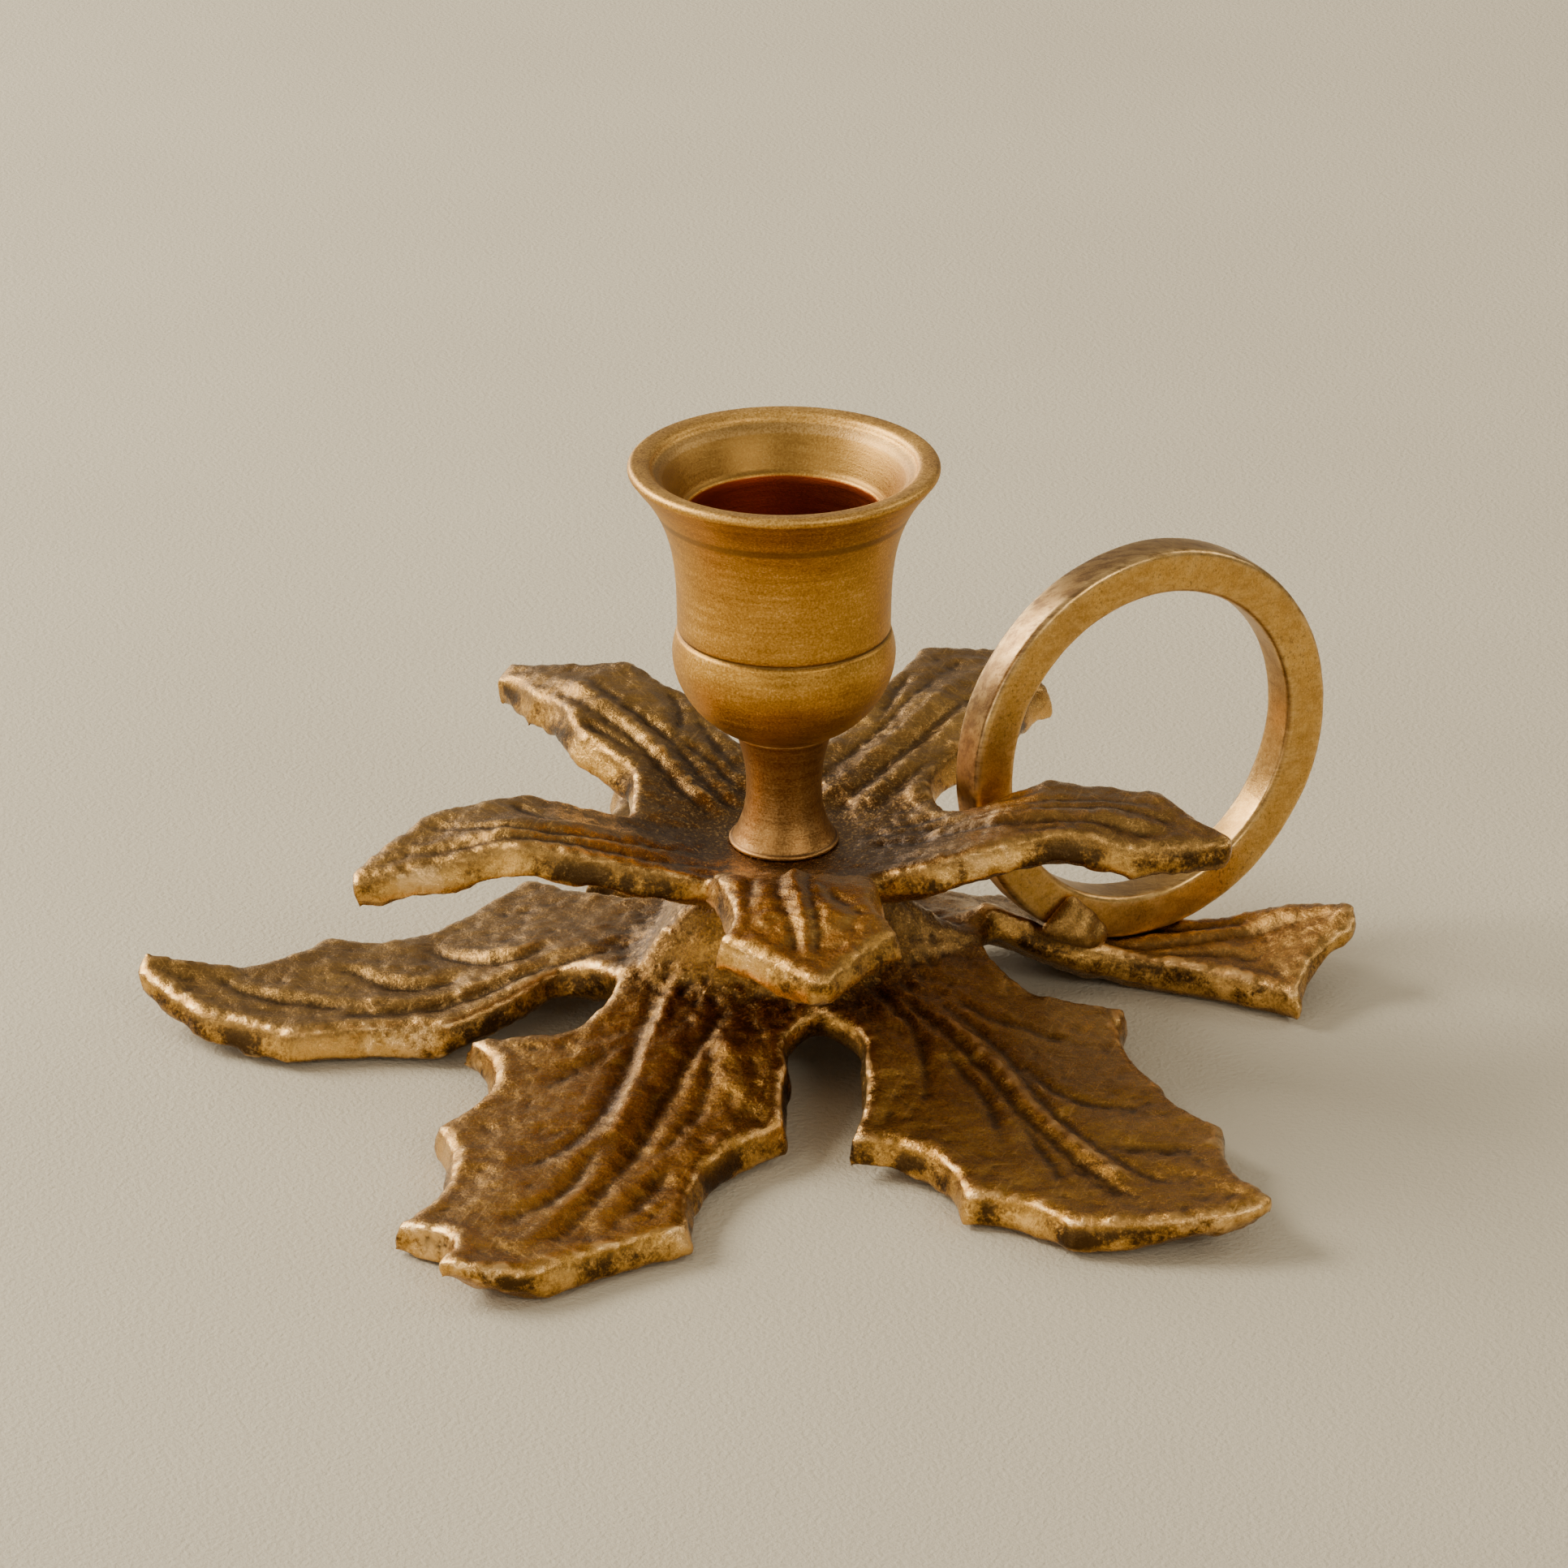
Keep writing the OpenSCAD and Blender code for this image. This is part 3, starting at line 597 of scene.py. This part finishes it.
def leaf_finish():
    """Cast brass with a brown patina, gold where it is handled, its walls blotched and polished."""
    g = Graph("cast_leaf_brass")
    broad = g.noise(8, 4, 0.6)
    mid = g.noise(1.8, 6, 0.68)
    fine = g.noise(0.42, 5, 0.72)
    grit = g.noise(0.16, 2, 0.6)
    hair = g.scratches((20, 75, 130))
    tone = g.total(g.scaled(broad, 0.50), g.scaled(mid, 0.30), g.scaled(fine, 0.20))
    base = g.ramp(tone, [(0.34, (0.18, 0.092, 0.024)), (0.46, (0.27, 0.143, 0.036)),
                         (0.54, (0.34, 0.185, 0.048)), (0.66, (0.46, 0.262, 0.072))])
    reddish = g.ramp(tone, [(0.34, (0.21, 0.096, 0.015)), (0.46, (0.33, 0.158, 0.024)),
                            (0.54, (0.42, 0.210, 0.034)), (0.66, (0.56, 0.30, 0.058))])
    base = g.mix(g.value("red"), base, reddish)
    base = g.mix(g.scaled(hair, 0.5), base, (0.66, 0.38, 0.11))
    hub = g.math("MULTIPLY", g.value("hub"), g.step(fine, 0.64, 0.50))
    base = g.mix(g.scaled(hub, 0.85), base, (0.08, 0.038, 0.012))
    worn = g.total(g.value("wear"), g.scaled(g.value("rim"), 0.25), g.scaled(g.value("rib"), 0.3),
                   g.scaled(mid, 1.6, 0.5))
    worn = g.step(worn, 0.35, 1.3)
    base = g.mix(g.scaled(worn, 0.7), base, GOLD)
    patch = g.total(g.noise(8, 3, 0.5, warp=0.4), g.scaled(mid, 0.55, 0.5), g.scaled(fine, 0.42, 0.5),
                    g.scaled(g.value("polish"), 0.16), g.scaled(g.value("stain"), -0.17))
    flank = g.ramp(patch, [(0.37, (0.045, 0.022, 0.008)), (0.44, (0.21, 0.100, 0.020)),
                           (0.50, (0.43, 0.225, 0.045)), (0.62, (0.72, 0.41, 0.105))])
    base = g.mix(g.scaled(g.value("wall"), 0.92), base, flank)
    polished = g.total(g.value("polish"), g.scaled(mid, 2.2, 0.5), g.scaled(hair, 0.3))
    polished = g.step(polished, 0.45, 1.1)
    base = g.mix(g.scaled(polished, 0.62), base, (0.93, 0.60, 0.24))
    crest = g.step(g.total(g.value("wear"), g.scaled(mid, 2.4, 0.5)), 0.75, 1.4)
    base = g.mix(g.scaled(crest, 0.55), base, BRIGHT)
    speck = g.math("MULTIPLY", g.step(fine, 0.60, 0.70), g.total(g.scaled(g.value("hub"), 0.7), 0.16))
    base = g.mix(speck, base, BRIGHT)
    dirt = g.math("MULTIPLY", g.value("dirt"), g.step(mid, 0.2, 0.6, 0.6, 1.0))
    base = g.mix(g.scaled(dirt, 0.75), base, DARK)
    rough = g.total(g.step(g.math("MAXIMUM", worn, polished), 0, 1, 0.27, 0.22), g.scaled(fine, 0.2, 0.5))
    normal = g.bump(mid, 0.42, 0.6)
    normal = g.bump(fine, 0.08, 0.5, normal)
    normal = g.bump(grit, 0.02, 0.5, normal)
    normal = g.bump(hair, 0.008, 0.5, normal)
    return g.finish(base, rough, normal)


def turned_finish(name, stops, unshaded_at, shaded_at, shine):
    """Satin turned brass with fine rings around the axis, and painted shade, redder and darker, from the
    first given height towards the second.
    """
    g = Graph(name)
    rings = g.noise(0.22, 4, 0.7, scale=(0.03, 0.03, 1))
    streak = g.noise(1.0, 6, 0.75, scale=(0.10, 0.10, 1.4))
    speck = g.noise(0.26, 3, 0.65)
    stain = g.noise(9, 4, 0.6)
    height = g.add("SeparateXYZ", {"Vector": g.add("TexCoord", out="Object")}, out="Z")
    tone = g.total(g.scaled(streak, 0.30), g.scaled(stain, 0.20), g.scaled(speck, 0.50))
    base = g.ramp(tone, stops)
    # painted shade: a darker red-brown laid in towards the joint of cup and stem
    shade = g.step(height, shaded_at * MM, unshaded_at * MM)
    base = g.mix(g.math("MULTIPLY", g.math("SUBTRACT", 1.0, shade), 0.16), base, SHADE_RED_BROWN)
    # painted shade: the funnel inside the lip is laid darker brown
    base = g.mix(g.scaled(g.value("funnel"), 0.62), base, (0.20, 0.108, 0.030))
    base = g.mix(g.value("bore"), base, (0.36, 0.068, 0.014))
    base = g.mix(g.scaled(g.value("dirt"), 0.85), base, (0.05, 0.022, 0.01))
    base = g.mix(g.math("MULTIPLY", g.value("wear"), g.step(speck, 0.35, 0.6, 0.2, 0.6)), base, BRIGHT)
    rough = g.total(g.scaled(speck, 0.3, 0.5), g.step(streak, 0.3, 0.7, shine, shine + 0.1))
    normal = g.bump(rings, 0.04, 0.6)
    normal = g.bump(speck, 0.05, 0.7, normal)
    return g.finish(base, rough, normal)


def ring_finish():
    """Brushed satin brass, tarnished on the ring's rim and inside, with bright edges."""
    g = Graph("ring_brass")
    patch = g.noise(7, 3, 0.5, warp=0.5)
    brush = g.noise(1.0, 6, 0.75, scale=(0.25, 1.0, 1.0), turn=20)
    speck = g.noise(0.22, 3, 0.65)
    hair = g.scratches((8, 60, 110), 0.28)
    nicks = g.scratches((30, 85, 140), 0.30)
    tone = g.total(g.scaled(patch, 0.25), g.scaled(brush, 0.30), g.scaled(speck, 0.45))
    base = g.ramp(tone, [(0.40, (0.40, 0.210, 0.045)), (0.50, (0.56, 0.31, 0.070)),
                         (0.60, (0.70, 0.41, 0.105))])
    base = g.mix(g.scaled(hair, 0.35), base, (0.84, 0.54, 0.18))
    nicked = g.math("MULTIPLY", nicks, g.step(patch, 0.40, 0.60, 0.1, 0.7))
    base = g.mix(nicked, base, (0.20, 0.10, 0.026))
    tarnish = g.math("MULTIPLY", g.value("stain"), g.step(brush, 0.35, 0.55, 0.95, 0.7))
    base = g.mix(tarnish, base, (0.16, 0.085, 0.040))
    base = g.mix(g.scaled(g.value("dirt"), 0.75), base, DARK)
    base = g.mix(g.math("MULTIPLY", g.value("wear"), g.step(brush, 0.4, 0.6, 0.15, 0.6)), base, BRIGHT)
    rough = g.total(g.step(patch, 0.3, 0.7, 0.38, 0.31), g.scaled(speck, 0.25, 0.5))
    normal = g.bump(brush, 0.03, 0.4)
    normal = g.bump(speck, 0.025, 0.5, normal)
    return g.finish(base, rough, normal)


def fixing_finish():
    """Plain machined brass of the rod, washer and nut."""
    g = Graph("fixing_brass")
    stain = g.noise(2.5, 5, 0.6)
    rings = g.noise(0.25, 4, 0.6, scale=(0.1, 0.1, 1))
    base = g.ramp(stain, [(0.35, BROWN), (0.5, TAN), (0.65, GOLD)])
    rough = g.step(stain, 0.3, 0.7, 0.5, 0.32)
    return g.finish(base, rough, g.bump(rings, 0.03, 0.5))


def table_finish():
    """A pale matt table top with a fine tooth."""
    g = Graph("pale_table")
    broad = g.noise(60, 3, 0.5)
    tooth = g.noise(0.7, 3, 0.6)
    base = g.ramp(broad, [(0.35, (0.540, 0.472, 0.335)), (0.65, (0.560, 0.492, 0.350))])
    normal = g.bump(tooth, 0.35, 0.8)
    return g.finish(base, 0.62, normal, metal=0.0, **{"Specular IOR Level": 0.25})


# ---------------------------------------------------------------- pieces

def lobe_tint(directions, strength):
    """How red the patina is: strongest near the given plan directions in degrees, 0 elsewhere."""
    def tint(p):
        a = np.degrees(np.arctan2(p[:, 1], p[:, 0]))
        out = np.zeros(len(p))
        for d in directions:
            gap = np.abs((a - d + 180) % 360 - 180)
            out = np.maximum(out, strength * smoothstep(44, 24, gap))
        return out
    return tint


lower_leaf = cast_leaf("lower_leaf_cast", "lower_leaf", LOWER_VEINS, (LOWER_POLISH, LOWER_STAIN),
                       voxel=0.53, rounding=17, reach=0.3, hub_grain=1.0,
                       red=lobe_tint([220, 292], 0.85), settle=4)
upper_leaf = cast_leaf("upper_leaf_cast", "upper_leaf", UPPER_VEINS, (UPPER_POLISH, UPPER_STAIN),
                       voxel=0.40, rounding=34, reach=0.8, hub_grain=0.2,
                       red=lobe_tint([253], 0.45), settle=5)
cup = lathe("candle_cup_turned", cup_profile())
stem = lathe("stem_turned", stem_profile())
ring = finger_ring()
lug = remeshed("brazed_lug", "ring_lug", 0.25, 110)
points, normals = get_points(lug.data)
swell = 0.3 + 0.3 * cloud(points, 3.2, octaves=2, seed=4)
set_points(lug.data, points + normals * swell[:, None])

for obj, node in ((cup, "candle_cup"), (stem, "cup_stem"), (ring, "ring_handle"), (lug, "ring_lug")):
    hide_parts(node)
    points, normals = get_points(obj.data)
    curve = bulge(obj.data, points, normals, 4)
    attribute(obj.data, "wear", smoothstep(0.004, 0.05, curve))
    attribute(obj.data, "dirt", smoothstep(-0.004, -0.05, curve))

# where the cup is dark, worn or stained: its groove, lip and bore; and its funnel, which is painted darker as
# shade
points, normals = get_points(cup.data)
radius = np.hypot(points[:, 0], points[:, 1])
level = points[:, 2]
inside = (radius < BORE_RADIUS + 0.2) & (level > CUP_BASE + 5.4) & (level < MOUTH)
groove = np.exp(-((level - GROOVE) / 0.22) ** 2) * (radius < 13)
cup.data.attributes["dirt"].data.foreach_set("value", groove.astype(np.float32))
on_lip = (normals[:, 2] > 0.2) * (level > CUP_BASE + 31.9)
cup.data.attributes["wear"].data.foreach_set("value", on_lip * 0.3)
stem.data.attributes["wear"].data.foreach_set("value", np.zeros(len(stem.data.vertices)))
attribute(cup.data, "bore", inside)
attribute(cup.data, "funnel", (radius < 15.2) & (level > MOUTH + 0.1))

# the ring tarnishes on its round rim and inside, most of all towards the cup
points, normals = get_points(ring.data)
offset = (points - RING_CENTRE) * (1, 0, 1)
reach = np.linalg.norm(offset, axis=1)
on_rim = np.abs((offset * normals).sum(1)) > 0.6 * reach
left_rim = smoothstep(14, -6, offset[:, 0]) * (reach > 22)
attribute(ring.data, "stain", np.where(on_rim, np.maximum(left_rim, 0.55), 0))

leaf_material = leaf_finish()
cup_material = turned_finish("turned_cup_brass", CUP_TONES, unshaded_at=50, shaded_at=37, shine=0.40)
stem_material = turned_finish("stem_brass", STEM_TONES, unshaded_at=25, shaded_at=40, shine=0.38)
ring_material = ring_finish()
fixing_material = fixing_finish()

finishes = ((lower_leaf, leaf_material, "leaf_brass"), (upper_leaf, leaf_material, "leaf_brass"),
            (cup, cup_material, "turned_brass"), (stem, stem_material, "stem_brass"),
            (ring, ring_material, "ring_brass"), (lug, leaf_material, "leaf_brass"))
for obj, material, slot in finishes:
    obj.data.materials.clear()
    obj.data.materials.append(material)
    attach(obj, "root")

for node in ("tie_rod", "washer", "nut"):
    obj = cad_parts[node]
    if not obj.material_slots:
        obj.data.materials.append(fixing_material)
    for s in obj.material_slots:
        s.material = fixing_material


# ----------------------------------------------------------------- stage

def around(azimuth, rise, distance):
    """A place round the object: azimuth 0 is the camera's side and grows to the camera's right."""
    a = math.radians(-90 - CAMERA_TURN + azimuth)
    e = math.radians(rise)
    return LOOK_AT + distance * Vector((math.cos(a) * math.cos(e), math.sin(a) * math.cos(e), math.sin(e)))


def aim(obj):
    """Turns a light or camera towards the object."""
    obj.rotation_euler = (LOOK_AT - obj.location).to_track_quat("-Z", "Y").to_euler()


def softbox(name, azimuth, rise, distance, size, power):
    """A warm white area light that faces the object."""
    light = bpy.data.lights.new(name, "AREA")
    light.shape = "RECTANGLE"
    light.size, light.size_y = size
    light.energy = power
    light.color = (1, 0.96, 0.90)
    obj = bpy.data.objects.new(name, light)
    bpy.context.scene.collection.objects.link(obj)
    obj.location = around(azimuth, rise, distance)
    aim(obj)


floor = new_piece("table_top", [(-4, -4, 0), (4, -4, 0), (4, 4, 0), (-4, 4, 0)], [(0, 1, 2, 3)], smooth=False)
floor.data.materials.append(table_finish())

softbox("key_left", -108, 36, 1.2, (0.7, 0.5), 21)
softbox("low_back_left", -140, 13, 1.6, (1.0, 0.4), 8)
softbox("front_left", -40, 18, 2.2, (0.9, 0.5), 8)
softbox("front_right", 38, 30, 2.0, (0.8, 0.6), 10)
softbox("right_back", 105, 35, 1.5, (0.4, 0.6), 3.5)

world = bpy.data.worlds.new("studio")
bpy.context.scene.world = world
world.use_nodes = True
sky = world.node_tree
background = sky.nodes["Background"]
side = sky.nodes.new("ShaderNodeVectorMath")
side.operation = "DOT_PRODUCT"
left = around(-90, 0, 1) - LOOK_AT
side.inputs[1].default_value = (left.x * 0.6, left.y * 0.6, 0.5)
sky.links.new(sky.nodes.new("ShaderNodeTexCoord").outputs["Generated"], side.inputs[0])
fade = sky.nodes.new("ShaderNodeMapRange")
for key, value in (("From Min", -0.35), ("From Max", 0.75), ("To Min", 0.17), ("To Max", 0.72)):
    fade.inputs[key].default_value = value
sky.links.new(side.outputs["Value"], fade.inputs["Value"])
sky.links.new(fade.outputs["Result"], background.inputs["Strength"])
background.inputs["Color"].default_value = (1.0, 0.91, 0.79, 1)

camera_data = bpy.data.cameras.new("camera")
camera_data.sensor_width = 36
camera_data.lens = 154.3
camera_data.clip_start = 0.05
camera_data.clip_end = 20
camera = bpy.data.objects.new("camera", camera_data)
bpy.context.scene.collection.objects.link(camera)
camera.location = around(0, CAMERA_RISE, CAMERA_DISTANCE)
aim(camera)
bpy.context.scene.camera = camera
